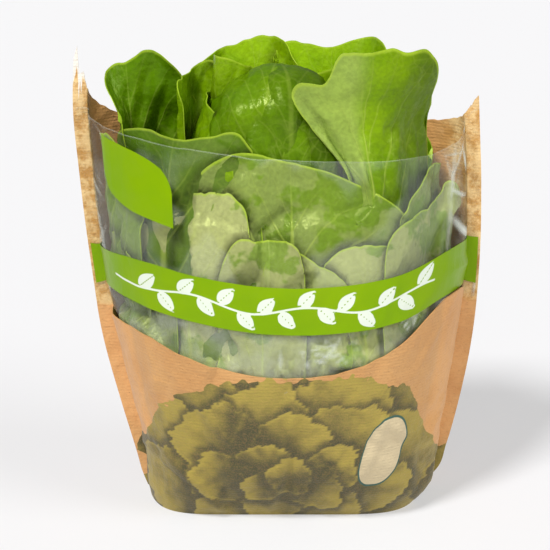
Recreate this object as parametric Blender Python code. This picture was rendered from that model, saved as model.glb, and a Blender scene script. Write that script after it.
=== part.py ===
"""A head of butterhead lettuce with its root plug, standing in an open kraft-paper bag with a clear window.

The bag is two sheets of kraft paper joined along flat side seams and closed by a flat base. The upper front
is clear film. The leaves are shaped inside the bag's own outline, so that they press against it.
Units are metres, +Z is up, the front faces -Y and the origin is the middle of the base, on the ground.
"""

import math
from typing import NamedTuple

import bmesh
import bpy
import numpy as np

# Bag outline: (height, distance) points of the side edges, front bulge and back bulge.
LEFT_EDGE = [(0, 0.084), (0.008, 0.087), (0.022, 0.0905), (0.060, 0.1005), (0.103, 0.1105), (0.150, 0.1165),
             (0.215, 0.1225), (0.245, 0.1245), (0.290, 0.1225)]
RIGHT_EDGE = [(0, 0.092), (0.012, 0.103), (0.028, 0.108), (0.060, 0.1155), (0.103, 0.1225), (0.150, 0.1255),
              (0.200, 0.1250), (0.245, 0.1225), (0.290, 0.1195)]
FRONT_DEPTH = [(0, 0.046), (0.030, 0.067), (0.063, 0.078), (0.100, 0.084), (0.150, 0.086), (0.200, 0.080),
               (0.240, 0.070), (0.300, 0.062)]
BACK_DEPTH = [(0, 0.042), (0.030, 0.046), (0.100, 0.046), (0.200, 0.036), (0.260, 0.028), (0.300, 0.026)]
SQUARENESS = [(0, 7.0), (0.030, 4.2), (0.060, 3.2), (0.120, 2.6), (0.300, 2.4)]
SEAM_WIDTH = [(0, 0.002), (0.030, 0.008), (0.080, 0.011), (0.150, 0.009), (0.300, 0.009)]
ROUNDNESS = 0.53
SEAM = 2.0  # a sheet runs from -2 to 2 across: -1 to 1 is its bulge and the rest its two flat seams

# Sheets
PAPER = 0.0008
FILM = 0.0006
SHEET_GAP = 0.0003
FILM_INSET = PAPER / 2 + FILM / 2 + SHEET_GAP
WINDOW_EDGE = [(-2.0, 0.1225), (-1.0, 0.1225), (-0.72, 0.1245), (-0.55, 0.1230), (-0.35, 0.1160),
               (-0.18, 0.1090), (0.05, 0.1050), (0.22, 0.1085), (0.425, 0.1205), (0.61, 0.1375),
               (0.80, 0.1430), (1.0, 0.1300), (1.3, 0.1260), (2.0, 0.1260)]
FILM_LAP = 0.010  # how far the film reaches down behind the paper
LAP_ENDS = 0.80  # the lap runs out by this place across, and beyond it the film ends above the paper's edge
LAP_RUNS_OUT = 0.15
FILM_FOOT_GAP = 0.0025
FILM_SEAM_SHARE = 0.97  # the film ends this far out on the seams
FILM_TOP = [(-2.0, 0.249), (-1.0, 0.248), (-0.55, 0.243), (0, 0.234), (0.7, 0.233), (1.0, 0.240),
            (2.0, 0.249)]
BACK_TOP = [(-2.0, 0.279), (-1.8, 0.287), (-1.6, 0.269), (-1.3, 0.271), (-1.0, 0.260), (-0.6, 0.240),
            (0, 0.232), (0.6, 0.236), (1.0, 0.245), (2.0, 0.257)]
SEAM_PLACES = [1.35, 1.7, SEAM]
TORN_TIP_PLACES = [-2.0, -1.8, -1.6, -1.3]
BULGE_COLUMNS = 25
FILM_ROWS = 10
FOLD_ROWS = [0, 0.03, 0.07]  # shares of the height, close together where the sheets turn under the bag
FLOOR_ROWS = 6

# Head of lettuce
LEAF = 0.0009
LEAF_GRID = 8
AXIS_Y = -0.016  # the stem stands this far in front of the side seams
STEM_RADIUS = 0.011
STEM_BOTTOM_Z = 0.050
HEART = [(0.050, 0.011), (0.0608, 0.011), (0.065, 0.018), (0.073, 0.032), (0.088, 0.041), (0.110, 0.044),
         (0.150, 0.042), (0.190, 0.037), (0.225, 0.024), (0.242, 0.008)]
HEART_SIDES = 16
LEAF_WIDTH = [(0, 0.40), (0.25, 0.62), (0.5, 0.90), (0.75, 1.0), (1.0, 1.0)]  # share of its full width
# The left half of a blade that is narrow at first and wide at its tip.
FLARED = [(0, 0.26), (0.7, 0.26), (0.8, 0.33), (0.85, 0.50), (0.9, 0.70), (0.95, 0.92), (1.0, 1.0)]
BAG_CLEARANCE = 0.0028  # from the bag's outline to the middle of a leaf that lies against it
PRESS_FROM = 0.82  # a leaf bends along the bag from this share of its furthest reach
BAG_MOUTH_Z = 0.248  # above it the leaves spread freely, the more so the higher they reach
BAG_MOUTH_HEIGHT = 0.040
FREE_SPREAD = 0.25
MOST_STRETCH = 8
HALVINGS = 26
PATH_STEP = 0.01  # how far apart a leaf's path is read to find its slope
LOBE_SHARE = 0.8  # the rim's waves also raise and lower it, by this share of their size

# Root plug
PLUG_TOP_Z = 0.060
PLUG_RADIUS_TOP = 0.031
PLUG_RADIUS_FOOT = 0.027
PLUG_ROOTS = 9
PLUG_ROOT_DEPTH = 0.0022
PLUG_ROOT_TWIST = 40  # how far the roots wind round the plug, in radians a metre
PLUG_BEVEL = 0.003
PLUG_SIDES = 36
PLUG_RINGS = 9


class Leaf(NamedTuple):
    """One leaf. Lengths here are millimetres and angles degrees."""

    angle: float  # where it grows: 0 is the front, 90 the right
    half: float  # half of its width
    path: list  # its middle from the stem to the tip, as (radius, height) points
    yaw: float = 0  # how far its tip faces away from the direction it grows in
    turn: float = 0  # how far its tip moves round the head
    wraps: tuple = (70, 60)  # half of the angle that it bends round, at its root and at its tip
    press: float = 0.94  # its furthest share of the way to the bag
    waves: tuple = (6, 5, 0)  # the waves of its rim: count, size, start
    drop: tuple = (0, 0, 0.3)  # a lower part of its rim: from where, how deep (below 0: its right), how soft
    lean: float = 0  # how much higher its right corner is than its middle
    square: float = 3.2  # 2 is a round blade, more is squarer
    left_width: list = LEAF_WIDTH  # how wide its left half is from root to tip, as a share of its half width


LEAVES = {
    "wrapper_low_left": Leaf(-44, 48, [(8, 62), (54, 71), (88, 100), (96, 150), (96, 212)], wraps=(60, 25),
                             press=0.965, waves=(4, 2, 0.4), drop=(-0.4, 9, 0.2), lean=7, square=7.0),
    "wrapper_low_middle": Leaf(-8, 34, [(8, 61), (46, 69), (78, 94), (88, 136), (88, 188)], wraps=(60, 18),
                               press=1.0, waves=(4, 1, 1.9), lean=1, square=6.5),
    "wrapper_low_fold": Leaf(14, 34, [(8, 61), (46, 70), (78, 96), (88, 134), (88, 178)], wraps=(60, 20),
                             press=0.985, waves=(4, 2, 0.9), lean=-11, square=7.0),
    "wrapper_low_right": Leaf(43, 44, [(8, 62), (54, 71), (90, 100), (100, 138), (100, 180)], wraps=(60, 25),
                              press=0.96, waves=(4, 3, 0.2), lean=4, square=5.0),
    "wrapper_far_right": Leaf(72, 50, [(8, 63), (66, 76), (110, 110), (122, 156), (122, 200)], wraps=(60, 30),
                              press=1.0, waves=(4, 3, 2.2), lean=15, square=5.5, yaw=-10),
    "wrapper_far_left": Leaf(-70, 46, [(8, 62), (66, 74), (110, 102), (122, 134), (122, 168)], wraps=(60, 30),
                             press=1.0, waves=(4, 2, 1.1), lean=-18, square=5.5, yaw=12),
    "front_broad": Leaf(8, 104, [(8, 68), (48, 80), (80, 116), (90, 176), (84, 236)], wraps=(80, 42),
                        press=0.95, waves=(5, 3, 3.1), drop=(0.45, -24, 0.25), lean=-2, square=4.4),
    "front_left": Leaf(-60, 102, [(8, 70), (50, 82), (94, 124), (112, 190), (108, 248)], wraps=(65, 50),
                       press=0.91, waves=(5, 4, 2.6), drop=(-0.5, 13, 0.25), lean=5, square=4.0),
    "side_left": Leaf(-86, 46, [(8, 69), (62, 84), (108, 122), (124, 182), (124, 240)], wraps=(60, 40),
                      press=0.985, waves=(5, 4, 0.6), drop=(-0.2, 10, 0.4), yaw=8),
    "side_right": Leaf(82, 56, [(8, 70), (60, 86), (106, 128), (120, 180), (116, 222)], wraps=(60, 45),
                       press=0.95, waves=(5, 4, 1.0), drop=(-0.1, 10, 0.3), yaw=-10),
    "tall_right": Leaf(55, 66, [(8, 76), (44, 92), (74, 136), (82, 210), (72, 298)], yaw=-34, turn=-4,
                       wraps=(60, 44), press=0.90, waves=(5, 6, 3.9), drop=(-0.34, 26, 0.06), lean=-12,
                       left_width=FLARED, square=5.0),
    "back_right": Leaf(128, 62, [(8, 70), (58, 86), (88, 130), (96, 190), (90, 246)], wraps=(70, 45),
                       press=0.96, waves=(6, 5, 0.4)),
    "back_left": Leaf(-134, 62, [(8, 70), (58, 86), (88, 130), (96, 190), (90, 240)], wraps=(70, 45),
                      press=0.96, waves=(6, 5, 1.5)),
    "tall_left": Leaf(-98, 50, [(8, 76), (45, 98), (76, 150), (88, 218), (92, 279)], yaw=-66, wraps=(50, 45),
                      press=0.95, waves=(5, 4, 0.9), drop=(-0.55, 14, 0.25), lean=-15),
    "dome_under": Leaf(-10, 60, [(8, 82), (36, 102), (54, 152), (57, 210), (44, 259), (14, 280), (-14, 275)],
                       wraps=(90, 75), press=0.86, waves=(5, 3, 1.0)),
    "dome": Leaf(11, 56, [(8, 84), (34, 104), (52, 155), (54, 213), (40, 257), (12, 276), (-12, 268)],
                 wraps=(90, 80), press=0.80, waves=(5, 3, 2.2)),
    "heart_left": Leaf(-82, 50, [(8, 82), (30, 106), (50, 160), (52, 220), (42, 258)], wraps=(80, 75),
                       press=0.85, waves=(6, 5, 1.0)),
    "heart_right": Leaf(98, 52, [(8, 82), (32, 108), (54, 165), (60, 222), (56, 262)], wraps=(80, 65),
                        press=0.85, waves=(6, 5, 0.3)),
    "crown_left": Leaf(-158, 50, [(8, 84), (22, 112), (42, 170), (50, 235), (46, 287)], wraps=(60, 60),
                       press=0.9, waves=(5, 6, 1.2), yaw=-20),
    "crown_right": Leaf(140, 60, [(8, 83), (26, 110), (46, 168), (62, 232), (60, 287)], wraps=(60, 50),
                        press=0.9, waves=(5, 6, 2.8), yaw=15),
    "curl_left": Leaf(-100, 28, [(8, 86), (24, 116), (42, 170), (52, 230), (50, 276)], yaw=-50,
                      wraps=(80, 85), press=0.9, waves=(5, 5, 2.0)),
    "curl_middle": Leaf(-95, 32, [(8, 88), (16, 120), (26, 175), (34, 235), (32, 282)], yaw=70,
                        wraps=(80, 60), press=0.9, waves=(5, 4, 0.7), lean=6),
    "curl_right": Leaf(84, 36, [(8, 88), (20, 118), (32, 175), (40, 230), (40, 274)], yaw=-50, wraps=(80, 60),
                       press=0.9, waves=(5, 5, 1.5)),
}

KRAFT = (0.62, 0.42, 0.25, 1)
CLEAR = (0.86, 0.92, 0.84, 0.3)
LETTUCE_GREEN = (0.24, 0.50, 0.04, 1)
PEAT = (0.12, 0.08, 0.05, 1)


def clear_scene():
    for old in list(bpy.data.objects):
        bpy.data.objects.remove(old)


def material(name, colour, roughness):
    made = bpy.data.materials.new(name)
    made.use_nodes = True
    shader = made.node_tree.nodes["Principled BSDF"]
    shader.inputs["Base Color"].default_value = colour
    shader.inputs["Roughness"].default_value = roughness
    shader.inputs["Metallic"].default_value = 0
    shader.inputs["Alpha"].default_value = colour[3]
    return made


def curve_through(points, at):
    """The value at a place along a smooth curve through (place, value) points."""
    places, values = np.array(points, float).T
    slopes = np.gradient(values, places)
    at = np.clip(at, places[0], places[-1])
    i = np.clip(np.searchsorted(places, at) - 1, 0, len(places) - 2)
    step = places[i + 1] - places[i]
    t = (at - places[i]) / step
    return (
        (2 * t**3 - 3 * t**2 + 1) * values[i]
        + (t**3 - 2 * t**2 + t) * step * slopes[i]
        + (3 * t**2 - 2 * t**3) * values[i + 1]
        + (t**3 - t**2) * step * slopes[i + 1]
    )


def bulge_width(share, z):
    """How far the bulge of a sheet reaches to the side of its share, inside the flat seam."""
    edge = np.where(share > 0, curve_through(RIGHT_EDGE, z), curve_through(LEFT_EDGE, z))
    return edge - curve_through(SEAM_WIDTH, z)


def section(share, z):
    """The bag's depth at a share (-1 to 1) of its width, as a part of its full depth."""
    return np.maximum(0, 1 - np.abs(share) ** curve_through(SQUARENESS, z)) ** ROUNDNESS


def sheet_points(across, z, depth, lift):
    """Mid-surface of a sheet. depth is its bulge (negative to the front), lift its seams' way forward."""
    share = np.sin(np.clip(across, -1, 1) * math.pi / 2)
    seam = np.clip(np.abs(across) - 1, 0, 1) * curve_through(SEAM_WIDTH, z)
    x = share * bulge_width(share, z) + np.sign(across) * seam
    y = -lift + depth * section(share, z)
    return np.stack([x, y, z + 0 * x], axis=-1)


def level_normals(points):
    """Sideways normals of a sheet, so that its thickness doesn't change its height."""
    along = np.gradient(points, axis=1)
    normal = np.stack([along[..., 1], -along[..., 0], 0 * along[..., 0]], axis=-1)
    return normal / np.linalg.norm(normal, axis=-1, keepdims=True)


def full_normals(points):
    across = np.gradient(points, axis=1)
    along = np.gradient(points, axis=0)
    normal = np.cross(across, along)
    return normal / np.maximum(np.linalg.norm(normal, axis=-1, keepdims=True), 1e-9)


def slab(name, points, normals, thickness):
    """A closed sheet round a grid of mid-surface points, split into triangles alike on both faces."""
    rows, columns = points.shape[:2]
    front = (points + normals * thickness / 2).reshape(-1, 3)
    back = (points - normals * thickness / 2).reshape(-1, 3)
    count = rows * columns
    faces = []
    for i in range(rows - 1):
        for j in range(columns - 1):
            a, b = i * columns + j, i * columns + j + 1
            c, d = b + columns, a + columns
            for triangle in ((a, b, c), (a, c, d)):
                faces.append(triangle)
                faces.append(tuple(count + k for k in reversed(triangle)))
    rim = (
        [j for j in range(columns - 1)]
        + [i * columns + columns - 1 for i in range(rows - 1)]
        + [(rows - 1) * columns + j for j in range(columns - 1, 0, -1)]
        + [i * columns for i in range(rows - 1, 0, -1)]
    )
    for a, b in zip(rim, rim[1:] + rim[:1]):
        faces.append((b, a, a + count))
        faces.append((b, a + count, b + count))
    mesh = bpy.data.meshes.new(name)
    mesh.from_pydata([tuple(p) for p in np.concatenate([front, back])], [], faces)
    return finished(name, mesh)


def lathe(name, profile, sides, relief=None):
    """A closed turned solid from (height, radius) points. relief adds to the radius from place to place."""
    made = bmesh.new()
    rings = []
    for z, radius in profile:
        ring = []
        for k in range(sides):
            angle = 2 * math.pi * k / sides
            r = radius + (relief(angle, z, radius) if relief else 0)
            ring.append(made.verts.new((r * math.sin(angle), AXIS_Y - r * math.cos(angle), z)))
        rings.append(ring)
    for low, high in zip(rings, rings[1:]):
        for k in range(sides):
            n = (k + 1) % sides
            made.faces.new((low[k], low[n], high[n], high[k]))
    made.faces.new(rings[0][::-1])
    made.faces.new(rings[-1])
    mesh = bpy.data.meshes.new(name)
    made.to_mesh(mesh)
    made.free()
    return finished(name, mesh)


def finished(name, mesh):
    """An object of this mesh, with its faces pointing out."""
    made = bmesh.new()
    made.from_mesh(mesh)
    bmesh.ops.triangulate(made, faces=made.faces)
    bmesh.ops.recalc_face_normals(made, faces=made.faces)
    if made.calc_volume(signed=True) < 0:
        bmesh.ops.reverse_faces(made, faces=made.faces)
    made.to_mesh(mesh)
    made.free()
    obj = bpy.data.objects.new(name, mesh)
    bpy.context.scene.collection.objects.link(obj)
    return obj


def joined(base, others, solver):
    """One Boolean union of base with the others, applied, with the others then removed."""
    group = bpy.data.collections.new(base.name + "_repeats")
    bpy.context.scene.collection.children.link(group)
    for other in others:
        bpy.context.scene.collection.objects.unlink(other)
        group.objects.link(other)
    union = base.modifiers.new("union", "BOOLEAN")
    union.operation = "UNION"
    union.operand_type = "COLLECTION"
    union.collection = group
    union.solver = solver
    bpy.context.view_layer.update()
    mesh = bpy.data.meshes.new_from_object(base.evaluated_get(bpy.context.evaluated_depsgraph_get()))
    base.modifiers.clear()
    base.data = mesh
    for other in others:
        bpy.data.objects.remove(other)
    bpy.data.collections.remove(group)
    keep_outer_body(mesh)
    return base


def keep_outer_body(mesh):
    """Fills the hollows that fusing sealed and drops loose scraps: only the largest closed surface stays."""
    made = bmesh.new()
    made.from_mesh(mesh)
    unseen = set(made.verts)
    bodies = []
    while unseen:
        first = unseen.pop()
        body, front = {first}, [first]
        while front:
            for edge in front.pop().link_edges:
                for vert in edge.verts:
                    if vert in unseen:
                        unseen.discard(vert)
                        body.add(vert)
                        front.append(vert)
        bodies.append(body)
    largest = max(bodies, key=len)
    bmesh.ops.delete(made, geom=[v for v in made.verts if v not in largest], context="VERTS")
    made.to_mesh(mesh)
    made.free()


def window_edge(across):
    """Height of the window's lower edge."""
    return curve_through(WINDOW_EDGE, across)


def back_top(across):
    """Height of the back sheet's cut and torn top."""
    places, heights = np.array(BACK_TOP).T
    return np.interp(across, places, heights)


def paper_bag():
    """Back sheet, lower front sheet and base, joined into one piece of folded kraft paper."""
    across = np.concatenate([TORN_TIP_PLACES, np.linspace(-1, 1, BULGE_COLUMNS), SEAM_PLACES])
    back_rise = np.concatenate([FOLD_ROWS, np.linspace(0.13, 1, 11)])
    front_rise = np.concatenate([FOLD_ROWS, np.linspace(0.2, 1, 6)])
    back_z = back_rise[:, None] * back_top(across)[None, :]
    front_z = front_rise[:, None] * window_edge(across)[None, :]
    grid = np.broadcast_to(across, back_z.shape)
    back = sheet_points(grid, back_z, curve_through(BACK_DEPTH, back_z), 0)
    grid = np.broadcast_to(across, front_z.shape)
    front = sheet_points(grid, front_z, -curve_through(FRONT_DEPTH, front_z), PAPER / 2)
    sheet = slab("paper_bag", back, level_normals(back), PAPER)
    pocket = slab("pocket", front, level_normals(front), PAPER)
    inner = slice(1, -1)
    rows = np.linspace(0, 1, FLOOR_ROWS)[:, None, None]
    floor = front[0][None, inner] * (1 - rows) + back[0][None, inner] * rows
    floor[..., 2] = PAPER / 2
    base = slab("base", floor, np.broadcast_to([0.0, 0.0, 1.0], floor.shape), PAPER)
    return joined(sheet, [pocket, base], "EXACT")


def window_film():
    """Clear film over the upper front. It laps behind the paper pocket and lies on the back sheet's seams."""
    seam = np.array(SEAM_PLACES) * FILM_SEAM_SHARE
    across = np.concatenate([-seam[::-1], np.linspace(-1, 1, BULGE_COLUMNS), seam])
    lap = FILM_LAP * np.clip((LAP_ENDS - np.abs(across)) / LAP_RUNS_OUT, 0, 1)
    low = window_edge(across) - lap + np.where(np.abs(across) > LAP_ENDS, FILM_FOOT_GAP, 0)
    high = curve_through(FILM_TOP, across)
    rise = np.linspace(0, 1, FILM_ROWS)[:, None]
    z = low * (1 - rise) + high * rise
    grid = np.broadcast_to(across, z.shape)
    points = sheet_points(grid, z, -(curve_through(FRONT_DEPTH, z) - 2 * FILM_INSET), FILM_INSET)
    points[..., 0] -= np.sin(np.clip(grid, -1, 1) * math.pi / 2) * FILM_INSET
    return slab("window_film", points, level_normals(points), FILM)


def way_to_bag(x, y, z):
    """How many times farther from the head's axis the bag's outline is than these points."""
    low, high = np.zeros_like(x), np.full_like(x, MOST_STRETCH)
    for _ in range(HALVINGS):
        middle = (low + high) / 2
        at_x, at_y = middle * x, AXIS_Y + middle * y
        share = at_x / bulge_width(at_x, z)
        depth = np.where(at_y < 0, curve_through(FRONT_DEPTH, z), curve_through(BACK_DEPTH, z))
        inside = (np.abs(share) < 1) & (np.abs(at_y) < depth * section(np.clip(share, -1, 1), z))
        low, high = np.where(inside, middle, low), np.where(inside, high, middle)
    return low


def blade_grid(size, square):
    """A grid drawn into a rounded square: places across and along it, share to the rim and angle round it."""
    side = np.linspace(-1, 1, size)
    u, v = np.meshgrid(side, side)
    across, along = u * np.sqrt(1 - v**2 / 2), v * np.sqrt(1 - u**2 / 2)
    round_rim = np.arctan2(across, along)
    swell = (np.abs(np.cos(round_rim)) ** square + np.abs(np.sin(round_rim)) ** square) ** (-1 / square)
    return across * swell, along * swell, np.hypot(across, along), round_rim


def leaf_middle(leaf, way):
    """Radius and height of the leaf's middle, part of the way from its root to its tip."""
    steps = np.linspace(0, 1, len(leaf.path))
    radii, heights = np.array(leaf.path).T / 1000
    return curve_through(list(zip(steps, radii)), way), curve_through(list(zip(steps, heights)), way)


def pressed(x, y, z, press):
    """The points (from the head's axis) brought inside the bag, so that a leaf lies along it."""
    reach = np.maximum(np.hypot(x, y), 1e-6)
    edge = way_to_bag(x, y, np.minimum(z, BAG_MOUTH_Z + BAG_MOUTH_HEIGHT / 2)) * reach - BAG_CLEARANCE
    share = reach / edge
    limit = press + FREE_SPREAD * np.clip((z - BAG_MOUTH_Z) / BAG_MOUTH_HEIGHT, 0, 1)
    begin = PRESS_FROM * limit
    room = limit - begin
    kept = np.where(share > begin, begin + room * (1 - np.exp(-(share - begin) / room)), share)
    return x * kept / share, y * kept / share


def leaf_points(leaf, size):
    """Mid-surface grid of one leaf. Each row bends round the head as an arc across the leaf's middle line."""
    across, along, reach, round_rim = blade_grid(size, leaf.square)
    way = np.clip((along + 1) / 2, 0, 1)
    radius, z = leaf_middle(leaf, way)
    low_radius, low_z = leaf_middle(leaf, np.clip(way - PATH_STEP, 0, 1))
    high_radius, high_z = leaf_middle(leaf, np.clip(way + PATH_STEP, 0, 1))
    rise = np.hypot(high_radius - low_radius, high_z - low_z)
    out_radius, out_z = (high_z - low_z) / rise, (low_radius - high_radius) / rise
    left, right = curve_through(leaf.left_width, way), curve_through(LEAF_WIDTH, way)
    half = leaf.half / 1000 * np.where(across < 0, left, right)
    wrap = np.radians(leaf.wraps[0] + (leaf.wraps[1] - leaf.wraps[0]) * way)
    side = half / wrap * np.sin(wrap * across)
    waves, wave, start = leaf.waves
    ruffle = wave / 1000 * np.sin(waves * round_rim + start) * reach**3 * way
    off = ruffle - half / wrap * (1 - np.cos(wrap * across))
    place, depth, softness = leaf.drop
    turned = np.sign(depth) if depth else 1
    drop = abs(depth) / 1000 * (1 - np.tanh(turned * (across - place) / softness)) / 2
    z = z + off * out_z + leaf.lean / 1000 * across * way - drop * np.clip(way * 2 - 1, 0, 1) ** 1.5
    z = z + LOBE_SHARE * wave / 1000 * np.cos(waves * round_rim + start) * reach**4 * way
    grow = np.radians(leaf.angle + leaf.turn * way)
    face = grow + np.radians(leaf.yaw * way)
    x = np.sin(grow) * radius + np.sin(face) * off * out_radius + np.cos(face) * side
    y = -np.cos(grow) * radius - np.cos(face) * off * out_radius + np.sin(face) * side
    x, y = pressed(x, y, z, leaf.press)
    return np.stack([x, AXIS_Y + y, z], axis=-1)


def lettuce_head():
    """The heart and its stem, with every leaf's root sunk into it."""
    heart = lathe("lettuce_head", HEART, HEART_SIDES)
    blades = []
    for name, leaf in LEAVES.items():
        points = leaf_points(leaf, LEAF_GRID)
        blades.append(slab(name, points, full_normals(points), LEAF))
    return joined(heart, blades, "MANIFOLD")


def root_plug():
    """The plug of peat, with roots wound down its sides. The stem stands in a plain hole in its top."""
    foot = PAPER + SHEET_GAP
    hole = STEM_RADIUS + SHEET_GAP
    low, high = foot + PLUG_BEVEL, PLUG_TOP_Z - PLUG_BEVEL
    share = np.linspace(0, 1, PLUG_RINGS)
    radii = PLUG_RADIUS_FOOT + share * (PLUG_RADIUS_TOP - PLUG_RADIUS_FOOT)
    wall = list(zip(low + share * (high - low), radii))
    top = [(PLUG_TOP_Z, PLUG_RADIUS_TOP - PLUG_BEVEL), (PLUG_TOP_Z, hole), (STEM_BOTTOM_Z - SHEET_GAP, hole)]

    def roots(angle, z, radius):
        on_wall = radius >= PLUG_RADIUS_FOOT and low <= z <= high
        wound = math.sin(PLUG_ROOTS * angle + PLUG_ROOT_TWIST * z)
        return PLUG_ROOT_DEPTH * wound * math.sin(math.pi * z / PLUG_TOP_Z) if on_wall else 0

    return lathe("root_plug", [(foot, PLUG_RADIUS_FOOT - PLUG_BEVEL)] + wall + top, PLUG_SIDES, roots)


def main():
    clear_scene()
    looks = {
        "paper_bag": material("kraft_paper", KRAFT, 0.75),
        "window_film": material("clear_film", CLEAR, 0.12),
        "lettuce_head": material("lettuce_leaf", LETTUCE_GREEN, 0.45),
        "root_plug": material("peat_and_roots", PEAT, 0.95),
    }
    for obj in (paper_bag(), window_film(), lettuce_head(), root_plug()):
        obj.data.materials.clear()
        obj.data.materials.append(looks[obj.name])


main()
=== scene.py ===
"""The looks of a butterhead lettuce with its root plug, in an open kraft-paper bag with a clear window.

The leaves, the paper, the film with its print and the root plug are made again as finer pieces, on the
formulas of the solids, so that each stays where its solid is. Units are metres, +Z is up and the front
faces -Y.
"""

import math
from typing import NamedTuple

import bpy
import numpy as np
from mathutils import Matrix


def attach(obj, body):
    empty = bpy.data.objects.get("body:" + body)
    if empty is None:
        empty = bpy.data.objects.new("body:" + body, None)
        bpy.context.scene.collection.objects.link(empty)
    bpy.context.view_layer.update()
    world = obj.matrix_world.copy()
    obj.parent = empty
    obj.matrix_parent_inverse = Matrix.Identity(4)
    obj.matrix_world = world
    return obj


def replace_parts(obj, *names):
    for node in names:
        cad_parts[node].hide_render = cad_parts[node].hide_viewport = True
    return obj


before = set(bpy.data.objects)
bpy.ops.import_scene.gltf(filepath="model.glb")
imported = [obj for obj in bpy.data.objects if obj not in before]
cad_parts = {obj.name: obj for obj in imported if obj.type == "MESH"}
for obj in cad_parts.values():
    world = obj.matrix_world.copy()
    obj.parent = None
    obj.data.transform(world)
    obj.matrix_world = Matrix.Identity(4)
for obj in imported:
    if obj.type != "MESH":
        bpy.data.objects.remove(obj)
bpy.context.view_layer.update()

# Bag outline: (height, distance) points of the side edges, front bulge and back bulge.
LEFT_EDGE = [(0, 0.084), (0.008, 0.087), (0.022, 0.0905), (0.060, 0.1005), (0.103, 0.1105), (0.150, 0.1165),
             (0.215, 0.1225), (0.245, 0.1245), (0.290, 0.1225)]
RIGHT_EDGE = [(0, 0.092), (0.012, 0.103), (0.028, 0.108), (0.060, 0.1155), (0.103, 0.1225), (0.150, 0.1255),
              (0.200, 0.1250), (0.245, 0.1225), (0.290, 0.1195)]
FRONT_DEPTH = [(0, 0.046), (0.030, 0.067), (0.063, 0.078), (0.100, 0.084), (0.150, 0.086), (0.200, 0.080),
               (0.240, 0.070), (0.300, 0.062)]
BACK_DEPTH = [(0, 0.042), (0.030, 0.046), (0.100, 0.046), (0.200, 0.036), (0.260, 0.028), (0.300, 0.026)]
SQUARENESS = [(0, 7.0), (0.030, 4.2), (0.060, 3.2), (0.120, 2.6), (0.300, 2.4)]
SEAM_WIDTH = [(0, 0.002), (0.030, 0.008), (0.080, 0.011), (0.150, 0.009), (0.300, 0.009)]
ROUNDNESS = 0.53
BAG_HALF = 0.13  # half the width that creases and facets are spread over, and the height
BAG_HEIGHT = 0.29
SEAM = 2.0  # a sheet runs from -2 to 2 across: -1 to 1 is its bulge and the rest its two flat seams

# Sheets
PAPER = 0.0008
FILM = 0.0002
SHEET_GAP = 0.0003
FILM_INSET = 0.001  # from the paper's middle to the film's
WINDOW_EDGE = [(-2.0, 0.1225), (-1.0, 0.1225), (-0.72, 0.1245), (-0.55, 0.1230), (-0.35, 0.1160),
               (-0.18, 0.1090), (0.05, 0.1050), (0.22, 0.1085), (0.425, 0.1205), (0.61, 0.1375),
               (0.80, 0.1430), (1.0, 0.1300), (1.3, 0.1260), (2.0, 0.1260)]
FILM_LAP = 0.010  # how far the film reaches down behind the paper
LAP_ENDS = 0.80  # the lap runs out by this place across, and beyond it the film ends above the paper's edge
LAP_RUNS_OUT = 0.15
FILM_FOOT_GAP = 0.0025
FILM_TOP = [(-2.0, 0.249), (-1.0, 0.248), (-0.55, 0.243), (0, 0.234), (0.7, 0.233), (1.0, 0.240),
            (2.0, 0.249)]
BACK_TOP = [(-2.0, 0.279), (-1.8, 0.287), (-1.6, 0.269), (-1.3, 0.271), (-1.0, 0.260), (-0.6, 0.240),
            (0, 0.232), (0.6, 0.236), (1.0, 0.245), (2.0, 0.257)]

# Head of lettuce
LEAF = 0.0005
LEAF_SEEDS = 100
AXIS_Y = -0.016
LEAF_WIDTH = [(0, 0.40), (0.25, 0.62), (0.5, 0.90), (0.75, 1.0), (1.0, 1.0)]
# The left half of a blade that is narrow at first and wide at its tip.
FLARED = [(0, 0.26), (0.7, 0.26), (0.8, 0.33), (0.85, 0.50), (0.9, 0.70), (0.95, 0.92), (1.0, 1.0)]
BAG_CLEARANCE = 0.0028
PRESS_FROM = 0.82
BAG_MOUTH_Z = 0.248
BAG_MOUTH_HEIGHT = 0.040
KEPT_APART = 0.7  # how much of the difference between two leaves' press is kept where both touch the bag
BAG_TOP_Z = 0.262  # the paper reaches no higher where leaves lean on it
FREE_SPREAD = 0.25
MOST_STRETCH = 8
HALVINGS = 26
LOBE_SHARE = 0.8
WAY_STEP = 0.01  # a short step along a leaf, to find which way it climbs
HEART = [(0.0505, 0.0105), (0.0608, 0.0105), (0.065, 0.017), (0.073, 0.031), (0.088, 0.040), (0.110, 0.043),
         (0.150, 0.041), (0.190, 0.036), (0.225, 0.023), (0.242, 0.007)]
CORE_GRID = (72, 60)
FINE_GRID = 72
PLAIN_GRID = 44
SIDE_VEINS = 8  # pairs of side veins along a leaf
VEIN_CLIMB = 0.42  # how far up the leaf a side vein climbs on its way to the rim
VEIN_BEND = 0.85  # 1 is a straight side vein, less is one that bends
VEIN_WANDER = 0.035
RIGHT_VEINS_HIGHER = 0.4  # of the way from one side vein to the next
RIB_HEIGHT = 0.0012
RIB_WIDTH = 0.07  # as a share of the leaf's half width
PILLOW = 0.0018  # height of the blade's bulges between its side veins, on a leaf that stands free
BLISTER = 0.0028
SWAY = 0.0060  # height of the broad folds of a leaf that stands free
FACET_SEED = 60  # the same facets for all leaves, so that they lie on one another
LEAF_FACETS = {"count": 75, "slope": 0.24, "softness": 0.0016}  # the count is over the whole bag
FACET_INWARD = 0.0012  # how far the facets as a whole stand back from the bag
FACETS_BY_PALE = 2.2  # how soon the facets reach their full height as leaves are paler
GAP_SHADE_WIDTH = 0.0045  # how far the painted shade behind another leaf's rim reaches
NOTCH = 0.03  # depth of the rim's notches, as a share of the leaf's half width
CRIMP = 0.0011  # height of the fine waves along the rim

# Root plug
PLUG_TOP_Z = 0.060
PLUG_RADIUS_TOP = 0.031
PLUG_RADIUS_FOOT = 0.027
STEM_RADIUS = 0.011
STEM_BOTTOM_Z = 0.050

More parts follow.
